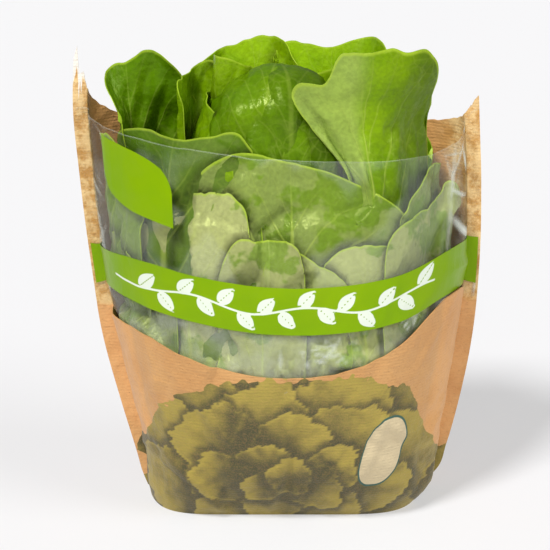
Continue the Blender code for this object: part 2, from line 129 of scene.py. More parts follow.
# Print on the film and on the paper
BAND_TOP = [(-2.0, 0.163), (-1.0, 0.165), (-0.85, 0.167), (-0.48, 0.170), (-0.27, 0.166), (0, 0.1615),
            (0.2, 0.1615), (0.42, 0.1645), (0.67, 0.1715), (1.0, 0.169), (2.0, 0.167)]
BAND_FOOT = [(-2.0, 0.137), (-1.0, 0.141), (-0.73, 0.144), (-0.5, 0.142), (-0.28, 0.138), (0, 0.133),
             (0.2, 0.133), (0.43, 0.136), (0.63, 0.1425), (1.0, 0.140), (2.0, 0.137)]
INK = 0.0001
INK_LIFT = 0.00035


class Leaf(NamedTuple):
    """One leaf. Lengths here are millimetres and angles degrees."""

    angle: float  # where it grows: 0 is the front, 90 the right
    half: float  # half of its width
    path: list  # its middle from the stem to the tip, as (radius, height) points
    wraps: tuple  # half of the angle that it bends round, at its root and at its tip
    press: float  # its furthest share of the way to the bag
    waves: tuple  # the waves of its rim: count, size, start
    yaw: float = 0  # how far its tip faces away from the direction it grows in
    turn: float = 0  # how far its tip moves round the head
    drop: tuple = (0, 0, 0.3)  # a lower part of its rim: from where across, how deep, how soft
    lean: float = 0  # how much higher its right corner is than its middle
    square: float = 3.2  # 2 is a round blade, more is squarer
    left_width: list = LEAF_WIDTH  # how wide its left half is from root to tip
    young: float = 0.5  # 0 is a deep green, 1 a bright yellow-green
    pale: float = 0  # 1 is the dull pale green of a leaf's underside
    fine: bool = True  # whether it shows well enough for the fine grid
    veins: float = 1.0  # how strongly its veins show
    left_pale: float = 0  # how pale its left half is beyond the rest, where it turns its underside out
    shade: float = 1.0  # how bright it is painted against the other leaves: partly its own tone and partly painted light and shade
    painted_shade_right: float = 0  # how much painted shade darkens its right half


LEAVES = {
    "wrapper_low_left": Leaf(-44, 48, [(8, 62), (54, 71), (88, 100), (96, 150), (96, 212)], (60, 25), 0.965,
        (4, 2, 0.4), shade=0.98, drop=(-0.4, 9, 0.2), lean=7, square=7.0, pale=1.0),
    "wrapper_low_middle": Leaf(-8, 34, [(8, 61), (46, 69), (78, 94), (88, 136), (88, 188)], (60, 18), 1.0,
        (4, 1, 1.9), shade=0.86, lean=1, square=6.5, pale=0.95),
    "wrapper_low_fold": Leaf(14, 34, [(8, 61), (46, 70), (78, 96), (88, 134), (88, 178)], (60, 20), 0.985,
        (4, 2, 0.9), shade=1.04, lean=-11, square=7.0, pale=0.8),
    "wrapper_low_right": Leaf(43, 44, [(8, 62), (54, 71), (90, 100), (100, 138), (100, 180)], (60, 25), 0.96,
        (4, 3, 0.2), shade=1.06, lean=4, square=5.0, pale=0.9),
    "wrapper_far_right": Leaf(72, 50, [(8, 63), (66, 76), (110, 110), (122, 156), (122, 200)], (60, 30), 1.0,
        (4, 3, 2.2), shade=0.84, lean=15, square=5.5, yaw=-10, pale=0.85),
    "wrapper_far_left": Leaf(-70, 46, [(8, 62), (66, 74), (110, 102), (122, 134), (122, 168)], (60, 30), 1.0,
        (4, 2, 1.1), shade=0.72, lean=-18, square=5.5, yaw=12, pale=0.6),
    "front_broad": Leaf(8, 104, [(8, 68), (48, 80), (80, 116), (90, 176), (84, 236)], (80, 42), 0.95,
        (5, 3, 3.1), shade=0.84, drop=(0.45, -24, 0.25), lean=-2, square=4.4, pale=0.45),
    "front_left": Leaf(-60, 102, [(8, 70), (50, 82), (94, 124), (112, 190), (108, 248)], (65, 50), 0.91,
        (5, 4, 2.6), shade=0.78, drop=(-0.5, 13, 0.25), lean=5, square=4.0, pale=0.16, young=0.15),
    "side_left": Leaf(-86, 46, [(8, 69), (62, 84), (108, 122), (124, 182), (124, 240)], (60, 40), 0.985,
        (5, 4, 0.6), shade=0.75, drop=(-0.2, 10, 0.4), yaw=8, pale=0.25, young=0.3),
    "side_right": Leaf(82, 56, [(8, 70), (60, 86), (106, 128), (120, 180), (116, 222)], (60, 45), 0.95,
        (5, 4, 1.0), shade=0.8, drop=(-0.1, 10, 0.3), yaw=-10, pale=0.4),
    "tall_right": Leaf(55, 66, [(8, 76), (44, 92), (74, 136), (82, 210), (72, 298)], (60, 44), 0.90,
        (5, 6, 3.9), yaw=-34, turn=-4, drop=(-0.34, 26, 0.06), lean=-12, left_width=FLARED, square=5.0,
        young=0.75, left_pale=0.35, shade=1.08, painted_shade_right=0.5),
    "back_right": Leaf(128, 62, [(8, 70), (58, 86), (88, 130), (96, 190), (90, 246)], (70, 45), 0.96,
        (6, 5, 0.4), fine=False),
    "back_left": Leaf(-134, 62, [(8, 70), (58, 86), (88, 130), (96, 190), (90, 240)], (70, 45), 0.96,
        (6, 5, 1.5), fine=False),
    "tall_left": Leaf(-98, 50, [(8, 76), (45, 98), (76, 150), (88, 218), (92, 279)], (50, 45), 0.95,
        (5, 4, 0.9), yaw=-66, shade=0.95, drop=(-0.55, 14, 0.25), lean=-15, young=0.2),
    "dome_under": Leaf(-10, 60, [(8, 82), (36, 102), (54, 152), (57, 210), (44, 259), (14, 280), (-14, 275)],
        (90, 75), 0.86, (5, 3, 1.0), young=0.4, veins=0.4, shade=0.86),
    "dome": Leaf(11, 56, [(8, 84), (34, 104), (52, 155), (54, 213), (40, 257), (12, 276), (-12, 268)],
        (90, 80), 0.80, (5, 3, 2.2), young=0.3, veins=0.3, shade=0.76, painted_shade_right=0.45),
    "heart_left": Leaf(-82, 50, [(8, 82), (30, 106), (50, 160), (52, 220), (42, 258)], (80, 75), 0.85,
        (6, 5, 1.0), young=0.7, veins=0.7),
    "heart_right": Leaf(98, 52, [(8, 82), (32, 108), (54, 165), (60, 222), (56, 262)], (80, 65), 0.85,
        (6, 5, 0.3), young=0.6, fine=False),
    "crown_left": Leaf(-158, 50, [(8, 84), (22, 112), (42, 170), (50, 235), (46, 287)], (60, 60), 0.9,
        (5, 6, 1.2), shade=1.2, yaw=-20, young=0.85),
    "crown_right": Leaf(140, 60, [(8, 83), (26, 110), (46, 168), (62, 232), (60, 287)], (60, 50), 0.9,
        (5, 6, 2.8), shade=1.2, yaw=15, young=0.85),
    "curl_left": Leaf(-100, 28, [(8, 86), (24, 116), (42, 170), (52, 230), (50, 276)], (80, 85), 0.9,
        (5, 5, 2.0), yaw=-50, young=0.65, veins=0.7),
    "curl_middle": Leaf(-95, 32, [(8, 88), (16, 120), (26, 175), (34, 235), (32, 282)], (80, 60), 0.9,
        (5, 4, 0.7), yaw=70, lean=6, young=0.75, veins=0.7),
    "curl_right": Leaf(84, 36, [(8, 88), (20, 118), (32, 175), (40, 230), (40, 274)], (80, 60), 0.9,
        (5, 5, 1.5), yaw=-50, young=0.7, veins=0.7),
}


# Numbers and noise
NOISE_KNOTS = 64
SHARP_FOLD = 60  # degrees beyond which a fold between two faces shows as an edge
WHITE = (1, 1, 1, 1)


def curve(points, at):
    """The value at a place along a smooth curve through (place, value) points."""
    places, values = np.array(points, float).T
    slopes = np.gradient(values, places)
    at = np.clip(at, places[0], places[-1])
    i = np.clip(np.searchsorted(places, at) - 1, 0, len(places) - 2)
    step = places[i + 1] - places[i]
    t = (at - places[i]) / step
    return (
        (2 * t**3 - 3 * t**2 + 1) * values[i]
        + (t**3 - 2 * t**2 + t) * step * slopes[i]
        + (3 * t**2 - 2 * t**3) * values[i + 1]
        + (t**3 - t**2) * step * slopes[i + 1]
    )


def soft_noise(u, v, seed):
    """Smooth noise from -1 to 1 over a plane, about one bump a unit."""
    knots = np.random.default_rng(seed).uniform(-1, 1, (NOISE_KNOTS, NOISE_KNOTS))
    i, j = np.floor(u).astype(int), np.floor(v).astype(int)
    s, t = u - i, v - j
    s, t = s * s * (3 - 2 * s), t * t * (3 - 2 * t)
    left, right, foot, top = (k % NOISE_KNOTS for k in (i, i + 1, j, j + 1))
    low = knots[left, foot] * (1 - s) + knots[right, foot] * s
    high = knots[left, top] * (1 - s) + knots[right, top] * s
    return low * (1 - t) + high * t


def layered_noise(u, v, seed, layers=3):
    """Noise of several sizes, each half as wide and half as high as the one before."""
    return sum(soft_noise(u * 2**k, v * 2**k, seed + k) / 2**k for k in range(layers))


def creases(x, z, seed, count, depth, upright, length, width):
    """Straight sharp folds, most of them near upright and each at most depth high, as a height."""
    draw = np.random.default_rng(seed)
    height = np.zeros_like(x)
    for _ in range(count):
        at_x, at_z = draw.uniform(-BAG_HALF, BAG_HALF), draw.uniform(0, BAG_HEIGHT)
        angle = draw.normal(math.pi / 2, 1 - upright)
        size = draw.uniform(0.4, 1)
        along = (x - at_x) * math.cos(angle) + (z - at_z) * math.sin(angle)
        aside = -(x - at_x) * math.sin(angle) + (z - at_z) * math.cos(angle)
        tent = np.clip(1 - np.abs(aside) / (width * (0.5 + size)), 0, 1)
        fade = np.exp(-((along / (length * size)) ** 2))
        height += draw.choice([-1, 1]) * size * depth * tent * fade
    return height


def facets(x, z, seed, count, slope, softness):
    """Flat facets at random tilts with creases between them, as a height."""
    draw = np.random.default_rng(seed)
    at_x, at_z = draw.uniform(-BAG_HALF, BAG_HALF, count), draw.uniform(0, BAG_HEIGHT, count)
    tilt_x, tilt_z = draw.normal(0, slope, count), draw.normal(0, slope, count)
    aside, above = x[..., None] - at_x, z[..., None] - at_z
    away = np.hypot(aside, above)
    weight = np.exp(-(away - away.min(axis=-1, keepdims=True)) / softness)
    return (weight * (tilt_x * aside + tilt_z * above)).sum(axis=-1) / weight.sum(axis=-1)


def ease(low, high, at):
    t = np.clip((at - low) / (high - low), 0, 1)
    return t * t * (3 - 2 * t)


def linear(red, green, blue):
    """A screen colour from 0 to 255 as the linear colour that shaders take."""
    def one(value):
        value /= 255
        return value / 12.92 if value <= 0.04045 else ((value + 0.055) / 1.055) ** 2.4

    return (one(red), one(green), one(blue), 1)


# Meshes
def rounded(u, v):
    """Places of a square from -1 to 1 drawn into a circle."""
    return u * np.sqrt(1 - v**2 / 2), v * np.sqrt(1 - u**2 / 2)


def strip(across, low, high, rows):
    """A grid of places across, and heights from low to high in each column."""
    rise = np.linspace(0, 1, rows)[:, None]
    z = low * (1 - rise) + high * rise
    return np.broadcast_to(across, z.shape), z


def full_normals(points):
    across = np.gradient(points, axis=1)
    along = np.gradient(points, axis=0)
    normal = np.cross(across, along)
    return normal / np.maximum(np.linalg.norm(normal, axis=-1, keepdims=True), 1e-9)


def raised(points, relief):
    return points + full_normals(points) * relief[..., None]


def finished_mesh(name, points, faces, marks):
    """A smooth mesh. marks are numbers for each point, kept by name."""
    mesh = bpy.data.meshes.new(name)
    mesh.from_pydata(points.tolist(), [], faces)
    for mark, values in marks.items():
        layer = mesh.attributes.new(mark, "FLOAT", "POINT")
        layer.data.foreach_set("value", values.astype(np.float32))
    mesh.shade_smooth()
    mesh.set_sharp_from_angle(angle=math.radians(SHARP_FOLD))
    return mesh


def sheet_mesh(name, points, thickness, marks, normals=None):
    """A closed sheet of quads round a grid of points, with the marks of each point on both of its faces."""
    normals = full_normals(points) if normals is None else normals
    rows, columns = points.shape[:2]
    count = rows * columns
    front = (points + normals * thickness / 2).reshape(-1, 3)
    back = (points - normals * thickness / 2).reshape(-1, 3)
    a = (np.arange(rows - 1)[:, None] * columns + np.arange(columns - 1)[None, :]).ravel()
    quads = np.stack([a, a + 1, a + 1 + columns, a + columns], axis=1)
    rim = np.concatenate([
        np.arange(columns - 1),
        np.arange(rows - 1) * columns + columns - 1,
        (rows - 1) * columns + np.arange(columns - 1, 0, -1),
        np.arange(rows - 1, 0, -1) * columns,
    ])
    after = np.roll(rim, -1)
    edge = np.stack([after, rim, rim + count, after + count], axis=1)
    faces = np.concatenate([quads, quads[:, ::-1] + count, edge]).tolist()
    grid = (2, rows, columns)
    marks = {mark: np.broadcast_to(value, grid).ravel() for mark, value in marks.items()}
    return finished_mesh(name, np.concatenate([front, back]), faces, marks)


def add_piece(name, mesh, material):
    piece = bpy.data.objects.new(name, mesh)
    bpy.context.scene.collection.objects.link(piece)
    mesh.materials.append(material)
    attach(piece, "root")
    return piece


# Shader nodes
class Look:
    """A material under construction, with short ways to add nodes and join them."""

    def __init__(self, name):
        self.material = bpy.data.materials.new(name)
        self.material.use_nodes = True
        self.tree = self.material.node_tree
        self.tree.nodes.clear()

    def node(self, kind, inputs=None, **settings):
        made = self.tree.nodes.new("ShaderNode" + kind)
        for key, value in settings.items():
            setattr(made, key, value)
        for key, value in (inputs or {}).items():
            self.feed(made.inputs[key], value)
        return made

    def shader(self, kind, inputs):
        return self.node("Bsdf" + kind, inputs).outputs[0]

    def feed(self, socket, value):
        if isinstance(value, bpy.types.NodeSocket):
            self.tree.links.new(value, socket)
        else:
            socket.default_value = value

    def mark(self, name):
        return self.node("Attribute", attribute_name=name).outputs["Fac"]

    def math(self, operation, a, b=0.0):
        made = self.node("Math", operation=operation)
        self.feed(made.inputs[0], a)
        self.feed(made.inputs[1], b)
        return made.outputs[0]

    def times(self, a, b):
        return self.math("MULTIPLY", a, b)

    def plus(self, a, b):
        return self.math("ADD", a, b)

    def minus(self, a, b):
        return self.math("SUBTRACT", a, b)

    def most(self, a, b):
        return self.math("MAXIMUM", a, b)

    def unless(self, value):
        """1 less the value."""
        return self.math("SUBTRACT", 1.0, value)

    def blend(self, share, a, b, mode="MIX"):
        made = self.node("Mix", data_type="RGBA", blend_type=mode)
        self.feed(made.inputs[0], share)
        self.feed(made.inputs[6], a)
        self.feed(made.inputs[7], b)
        return made.outputs[2]

    def ramp(self, value, low, high, to_low=0.0, to_high=1.0):
        made = self.node("MapRange", interpolation_type="SMOOTHSTEP")
        for socket, number in zip(made.inputs, (value, low, high, to_low, to_high)):
            self.feed(socket, number)
        return made.outputs[0]

    def place(self, scale=(1, 1, 1)):
        """Places on the object in metres, stretched by scale."""
        return self.node("Mapping", {0: self.node("TexCoord").outputs["Object"], 3: scale}).outputs[0]

    def noise(self, scale, detail=3.0, roughness=0.5, vector=None):
        vector = vector or self.place()
        inputs = {"Vector": vector, "Scale": scale, "Detail": detail, "Roughness": roughness}
        return self.node("TexNoise", inputs).outputs["Fac"]

    def vector_noise(self, scale, reach):
        """A smooth push of every place, up to about half of reach to any side."""
        colour = self.node("TexNoise", {"Vector": self.place(), "Scale": scale}).outputs["Color"]
        middle = self.node("VectorMath", {0: colour, 1: (0.5, 0.5, 0.5)}, operation="SUBTRACT").outputs[0]
        return self.node("VectorMath", {0: middle, "Scale": reach}, operation="SCALE").outputs[0]

    def cracks(self, scale, vector=None):
        """The distance to the nearest border of a net of uneven cells."""
        inputs = {"Vector": vector or self.place(), "Scale": scale}
        return self.node("TexVoronoi", inputs, feature="DISTANCE_TO_EDGE").outputs["Distance"]

    def bump(self, height, distance, strength=1.0, normal=None):
        made = self.node("Bump", {"Height": height, "Distance": distance, "Strength": strength})
        if normal:
            self.feed(made.inputs["Normal"], normal)
        return made.outputs["Normal"]

    def finish(self, shader):
        self.feed(self.node("OutputMaterial").inputs["Surface"], shader)
        return self.material

    def mixed(self, share, a, b):
        made = self.node("MixShader")
        for socket, value in zip(made.inputs, (share, a, b)):
            self.feed(socket, value)
        return made.outputs[0]


# Bag outline
def bulge_width(share, z):
    edge = np.where(share > 0, curve(RIGHT_EDGE, z), curve(LEFT_EDGE, z))
    return edge - curve(SEAM_WIDTH, z)


def section(share, z):
    return np.maximum(0, 1 - np.abs(share) ** curve(SQUARENESS, z)) ** ROUNDNESS


def sheet_points(across, z, depth, lift):
    """Mid-surface of a sheet: depth is its bulge, negative to the front, and lift how far forward it is."""
    share = np.sin(np.clip(across, -1, 1) * math.pi / 2)
    seam = np.clip(np.abs(across) - 1, 0, 1) * curve(SEAM_WIDTH, z)
    x = share * bulge_width(share, z) + np.sign(across) * seam
    y = -lift + depth * section(share, z)
    return np.stack([x, y, z + 0 * x], axis=-1)


def window_edge(across):
    return curve(WINDOW_EDGE, across)


# Leaves
def way_to_bag(x, y, z):
    """How many times farther from the head's axis the bag's outline is than these points."""
    low, high = np.zeros_like(x), np.full_like(x, MOST_STRETCH)
    for _ in range(HALVINGS):
        middle = (low + high) / 2
        at_x, at_y = middle * x, AXIS_Y + middle * y
        share = at_x / bulge_width(at_x, z)
        depth = np.where(at_y < 0, curve(FRONT_DEPTH, z), curve(BACK_DEPTH, z))
        inside = (np.abs(share) < 1) & (np.abs(at_y) < depth * section(np.clip(share, -1, 1), z))
        low, high = np.where(inside, middle, low), np.where(inside, high, middle)
    return low


def blade_grid(size, square):
    """A rounded square's grid: places across and along it, shares of the way to the rim, angles round it."""
    side = np.linspace(-1, 1, size)
    across, along = rounded(*np.meshgrid(side, side))
    round_rim = np.arctan2(across, along)
    swell = (np.abs(np.cos(round_rim)) ** square + np.abs(np.sin(round_rim)) ** square) ** (-1 / square)
    return across * swell, along * swell, np.hypot(across, along), round_rim


def leaf_middle(leaf, way):
    steps = np.linspace(0, 1, len(leaf.path))
    radii, heights = np.array(leaf.path).T / 1000
    return curve(list(zip(steps, radii)), way), curve(list(zip(steps, heights)), way)


def room_in_bag(x, y, z):
    """How far these points are from the head's axis, and how far from it they may be inside the bag."""
    reach = np.maximum(np.hypot(x, y), 1e-6)
    return reach, way_to_bag(x, y, np.minimum(z, BAG_MOUTH_Z + BAG_MOUTH_HEIGHT / 2)) * reach - BAG_CLEARANCE


def brought_in(x, y, z, press):
    """The points (from the head's axis) brought inside the bag, so that a leaf lies along it."""
    reach, edge = room_in_bag(x, y, z)
    share = reach / edge
    limit = press + FREE_SPREAD * np.clip((z - BAG_MOUTH_Z) / BAG_MOUTH_HEIGHT, 0, 1)
    begin = PRESS_FROM * limit
    room = limit - begin
    kept = np.where(share > begin, begin + room * (1 - np.exp(-(share - begin) / room)), share)
    return x * kept / share, y * kept / share


def kept_inside(points, press):
    """The points, with those that bulge too far out moved in, farther for a leaf that is pressed less."""
    x, y, z = points[..., 0], points[..., 1] - AXIS_Y, points[..., 2]
    reach, edge = room_in_bag(x, y, z)
    limit = 1 - KEPT_APART * (1 - press) + FREE_SPREAD * np.clip((z - BAG_TOP_Z) / BAG_MOUTH_HEIGHT, 0, 1)
    back = np.minimum(1, limit * edge / reach)
    return np.stack([x * back, AXIS_Y + y * back, z], axis=-1)


def leaf_points(leaf, size, seed):
    """Mid-surface grid of one leaf. Each row bends round the head as an arc across the leaf's middle line."""
    across, along, reach, round_rim = blade_grid(size, leaf.square)
    notch = np.clip(soft_noise(round_rim * 3, 0 * reach, seed + 40), 0, 1)
    notch = notch**2 + 0.35 * np.clip(soft_noise(round_rim * 9, 0 * reach, seed + 50), 0, 1)
    notch = NOTCH * notch * ease(0.6, 1, reach) * ease(0.2, -0.4, -along)
    across, along = across * (1 - notch), along * (1 - notch)
    way = np.clip((along + 1) / 2, 0, 1)
    radius, z = leaf_middle(leaf, way)
    low_radius, low_z = leaf_middle(leaf, np.clip(way - WAY_STEP, 0, 1))
    high_radius, high_z = leaf_middle(leaf, np.clip(way + WAY_STEP, 0, 1))
    rise = np.hypot(high_radius - low_radius, high_z - low_z)
    out_radius, out_z = (high_z - low_z) / rise, (low_radius - high_radius) / rise
    left, right = curve(leaf.left_width, way), curve(LEAF_WIDTH, way)
    half = leaf.half / 1000 * np.where(across < 0, left, right)
    wrap = np.radians(leaf.wraps[0] + (leaf.wraps[1] - leaf.wraps[0]) * way)
    side = half / wrap * np.sin(wrap * across)
    waves, wave, start = leaf.waves
    ruffle = wave / 1000 * np.sin(waves * round_rim + start) * reach**3 * way
    off = ruffle - half / wrap * (1 - np.cos(wrap * across))
    place, depth, softness = leaf.drop
    turned = np.sign(depth) if depth else 1
    drop = abs(depth) / 1000 * (1 - np.tanh(turned * (across - place) / softness)) / 2
    z = z + off * out_z + leaf.lean / 1000 * across * way - drop * np.clip(way * 2 - 1, 0, 1) ** 1.5
    z = z + LOBE_SHARE * wave / 1000 * np.cos(waves * round_rim + start) * reach**4 * way
    grow = np.radians(leaf.angle + leaf.turn * way)
    face = grow + np.radians(leaf.yaw * way)
    x = np.sin(grow) * radius + np.sin(face) * off * out_radius + np.cos(face) * side
    y = -np.cos(grow) * radius - np.cos(face) * off * out_radius + np.sin(face) * side
    x, y = brought_in(x, y, z, leaf.press)
    return np.stack([x, AXIS_Y + y, z], axis=-1), across, way, reach, round_rim


def painted_gap_shade_mark(points, rims):
    """Painted shade: 1 on a leaf just behind the rim of another leaf, which shades it, and 0 away from any
    such rim.
    """
    flat = points.reshape(-1, 3).astype(np.float32)
    squares = (flat**2).sum(axis=1)[:, None] + (rims**2).sum(axis=1) - 2 * flat @ rims.T
    rims_out, points_out = (np.hypot(at[:, 0], at[:, 1] - AXIS_Y) for at in (rims, flat))
    nearest = np.where(rims_out > points_out[:, None], squares, 1).min(axis=1)
    return np.exp(-np.sqrt(np.maximum(nearest, 0)) / GAP_SHADE_WIDTH).reshape(points.shape[:2])


def leaf_relief(leaf, seed, points, across, way, climb, reach, round_rim):
    """How far each point of a leaf stands out from its smooth blade."""
    inside = (1 - reach**6) * (1 - 0.65 * leaf.pale)
    between = np.abs(np.sin(math.pi * climb)) ** 0.8 - 0.6
    pillow = PILLOW * leaf.veins * between * np.clip(np.abs(across) * 3, 0, 1) * inside
    sway = SWAY * (1 - leaf.pale) ** 2 * layered_noise(across * 1.6, way * 2.6, seed + 30, 2)
    sway = sway * ease(0, 0.5, way)
    blister = BLISTER * layered_noise(across * 6, way * 11, seed + 10) * (0.4 + 0.6 * leaf.veins) * inside
    rib = RIB_HEIGHT * np.exp(-((across / RIB_WIDTH) ** 2)) * (1 - way) * leaf.veins
    crimp = CRIMP * soft_noise(round_rim * 7, 0 * reach, seed + 20) * ease(0.72, 1, reach) * way
    folds = facets(points[..., 0], points[..., 2], FACET_SEED, **LEAF_FACETS)
    folds = (folds - FACET_INWARD) * min(1, FACETS_BY_PALE * leaf.pale)
    return pillow + sway + blister + rib + crimp + folds


def leaf_mesh(name, leaf, seed, rims):
    """One leaf with its relief, and the marks that its colours are drawn from."""
    size = FINE_GRID if leaf.fine else PLAIN_GRID
    points, across, way, reach, round_rim = leaf_points(leaf, size, seed)
    # painted shade where the rims of other leaves lie in front of this one
    painted_gap_shade = painted_gap_shade_mark(points, rims)
    wander = VEIN_WANDER * layered_noise(across * 2, way * 4, seed)
    climb = (way - VEIN_CLIMB * np.abs(across) ** VEIN_BEND + wander) * SIDE_VEINS
    climb = climb + np.where(across > 0, RIGHT_VEINS_HIGHER, 0)
    relief = leaf_relief(leaf, seed, points, across, way, climb, reach, round_rim)
    points = kept_inside(raised(points, relief), leaf.press)
    marks = {
        "across": across,
        "way": way,
        "climb": climb,
        "reach": reach,
        "young": leaf.young,
        "pale": leaf.pale + leaf.left_pale * ease(0.05, -0.2, across),
        "veins": leaf.veins,
        # the leaf's brightness, partly its tone and partly painted light and shade, with painted shade over
        # its right half
        "shade": leaf.shade * (1 - leaf.painted_shade_right * ease(-0.25, 0.75, across)),
        "pressed": float(leaf.pale > 0),
        "painted_gap_shade": painted_gap_shade,
    }
    return sheet_mesh(name, points, LEAF, marks)


DEEP_GREEN = linear(80, 126, 0)
BRIGHT_GREEN = linear(146, 184, 10)
DULL_GREEN = linear(184, 190, 124)
VEIN_GREEN = linear(190, 208, 92)
# the pale rim: partly the leaf's own paler margin and partly a painted glow of light through its thin edge
RIM_GREEN = linear(186, 214, 60)
FOOT_GREEN = linear(232, 232, 178)
GLOW_GREEN = linear(200, 240, 0)
SHEEN_GREEN = linear(222, 232, 150)
HEART_GREENS = linear(96, 136, 30), linear(150, 178, 70)


def leaf_look():
    """Leaf green with ribs, veins, a pale rim partly painted as glow, a pale foot, dusty parts and painted
    shade, drawn from the leaf's marks.
    """
    look = Look("lettuce_leaf")
    blend, ramp, noise, times = look.blend, look.ramp, look.noise, look.times
    across, way, climb, reach, young = map(look.mark, ("across", "way", "climb", "reach", "young"))
    pale, strength, shade, pressed, painted_gap_shade = map(look.mark, ("pale", "veins", "shade", "pressed", "painted_gap_shade"))
    sideways = look.math("ABSOLUTE", across)
    base = blend(young, DEEP_GREEN, BRIGHT_GREEN)
    patches = ramp(noise(38, 4), 0.35, 0.7)
    base = blend(times(patches, 0.45), base, DEEP_GREEN)
    # where a pressed leaf touches the film it looks wet and keeps its colour, and elsewhere it looks dusty
    touching = times(ramp(noise(24, 4, 0.6), 0.52, 0.56), pressed)
    dusty = times(pale, look.unless(times(touching, 0.7)))
    base = blend(dusty, base, DULL_GREEN)
    # fine specks of tone, times the leaf's shade, which is partly painted light and shade
    light = times(ramp(noise(420, 2), 0.35, 0.65, 0.92, 1.06), shade)
    # painted shade: darker just behind the rims of other leaves
    light = times(light, ramp(painted_gap_shade, 0.12, 0.90, 1.0, 0.12))
    light = look.node("CombineColor", {0: light, 1: light, 2: light}).outputs[0]
    base = blend(1.0, base, light, "MULTIPLY")
    # side veins: narrow lines where climb is whole, thinner towards the rim
    to_vein = look.math("FRACT", look.plus(climb, 0.5))
    to_vein = look.math("ABSOLUTE", look.minus(to_vein, 0.5))
    vein_width = ramp(sideways, 0, 1, 0.045, 0.012)
    side_vein = look.unless(ramp(look.math("DIVIDE", to_vein, vein_width), 0.4, 1.6))
    side_vein = times(side_vein, ramp(reach, 0.55, 0.97, 0.75, 0.15))
    rib_width = ramp(way, 0.1, 1.0, 0.070, 0.007)
    rib = look.unless(ramp(look.math("DIVIDE", sideways, rib_width), 0.3, 1.5))
    rib = times(rib, ramp(way, 0.75, 0.98, 1.0, 0.2))
    bend = {0: look.place(), 1: look.vector_noise(45, 0.016)}
    bent = look.node("VectorMath", bend, operation="ADD").outputs[0]
    net = look.unless(ramp(look.cracks(120, bent), 0.0, 0.10))
    net = times(net, ramp(noise(28, 2), 0.40, 0.62))
    veins = times(look.most(rib, times(side_vein, 0.7)), strength)
    base = blend(times(net, 0.09), base, VEIN_GREEN)
    base = blend(times(veins, 0.5), base, VEIN_GREEN)
    # pale rim, partly the margin's own colour and partly painted glow
    base = blend(ramp(reach, 0.984, 0.996, 0.0, 0.6), base, RIM_GREEN)
    base = blend(ramp(way, 0.30, 0.72, 0.8, 0.0), base, blend(pale, base, FOOT_GREEN))
    height = look.plus(times(veins, 0.6), times(net, 0.05))
    height = look.plus(height, times(noise(110, 3), 1.4))
    normal = look.bump(height, 0.0008, 0.6)
    normal = look.bump(noise(48, 3, 0.55), 0.0036, 0.6, normal)
    normal = look.bump(noise(210, 3, 0.6), 0.0009, 0.5, normal)
    roughness = ramp(noise(60, 3), 0.3, 0.7, 0.28, 0.42)
    inputs = {"Base Color": base, "Roughness": roughness, "Normal": normal, "Specular Tint": SHEEN_GREEN}
    surface = look.shader("Principled", inputs)
    glow = blend(0.6, base, blend(1.0, base, GLOW_GREEN, "MULTIPLY"))
    through = look.shader("Translucent", {"Color": glow, "Normal": normal})
    return look.finish(look.mixed(0.20, surface, through))


def turned_mesh(name, points):
    """A closed form from rings of points, from its foot to its top."""
    rings, sides = points.shape[:2]
    faces = []
    for low in range(0, (rings - 1) * sides, sides):
        for k in range(sides):
            after = (k + 1) % sides
            faces.append((low + k, low + after, low + sides + after, low + sides + k))
    faces.append(tuple(range(sides))[::-1])
    faces.append(tuple((rings - 1) * sides + k for k in range(sides)))
    return finished_mesh(name, points.reshape(-1, 3), faces, {})


def ring_at(radius, z, angle):
    """Points round the head's axis, facing the front at angle 0."""
    x, y = radius * np.sin(angle), AXIS_Y - radius * np.cos(angle)
    return np.stack([x, y, z + 0 * x], axis=-1)


def core_mesh():
    """The dense heart inside the leaves and its stem, as a closed turned form."""
    sides, rings = CORE_GRID
    z = np.linspace(HEART[0][0], HEART[-1][0], rings)[:, None]
    angle = np.linspace(0, 2 * math.pi, sides, endpoint=False)
    return turned_mesh("heart_core", ring_at(curve(HEART, z), z, angle))


def core_look():
    look = Look("lettuce_heart")
    base = look.blend(look.ramp(look.noise(60), 0.3, 0.7), *HEART_GREENS)
    inputs = {"Base Color": base, "Roughness": 0.6, "Normal": look.bump(look.noise(120), 0.002)}
    return look.finish(look.shader("Principled", inputs))


def add_leaves():
    look = leaf_look()
    seeds = {name: LEAF_SEEDS + count for count, name in enumerate(LEAVES)}
    # the rims of all leaves, for the painted shade that each rim casts on the leaves behind it
    rims = {}
    for name, leaf in LEAVES.items():
        points = leaf_points(leaf, PLAIN_GRID, seeds[name])[0]
        upper = points[len(points) // 3 :]
        rims[name] = np.concatenate([points[-1], upper[:, 0], upper[:, -1]])
    pieces = []
    for name, leaf in LEAVES.items():
        others = np.concatenate([rim for other, rim in rims.items() if other != name]).astype(np.float32)
        mesh = leaf_mesh(name, leaf, seeds[name], others)
        pieces.append(add_piece("leaf_" + name, mesh, look))
    pieces.append(add_piece("heart_core", core_mesh(), core_look()))
    for piece in pieces:
        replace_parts(piece, "lettuce_head")


# Paper
BACK_GRID = (180, 120)  # points across and up
POCKET_GRID = (340, 112)
FLOOR_GRID = (60, 20)
FLOOR_INSET = 0.006  # how far the floor stays from the walls, as a share of the bag's depth
CREASE_SEED = 41
PAPER_CREASES = {"count": 110, "depth": 0.0016, "upright": 0.55, "length": 0.05, "width": 0.004}
PAPER_FACETS = {"count": 60, "slope": 0.035, "softness": 0.0012}
SIDE_FOLD = 0.66  # the soft upright fold between the front and its side, as a place across
SIDE_FOLD_WIDTH = 0.05
SIDE_FOLD_DEPTH = 0.0007
PLAIN_PAPER = {"print": -1.0, "tone": 0.5, "patch": -1.0, "torn": 0.0, "front": 0.0, "seam": 0.0, "gold_and_painted_light": 0.0}

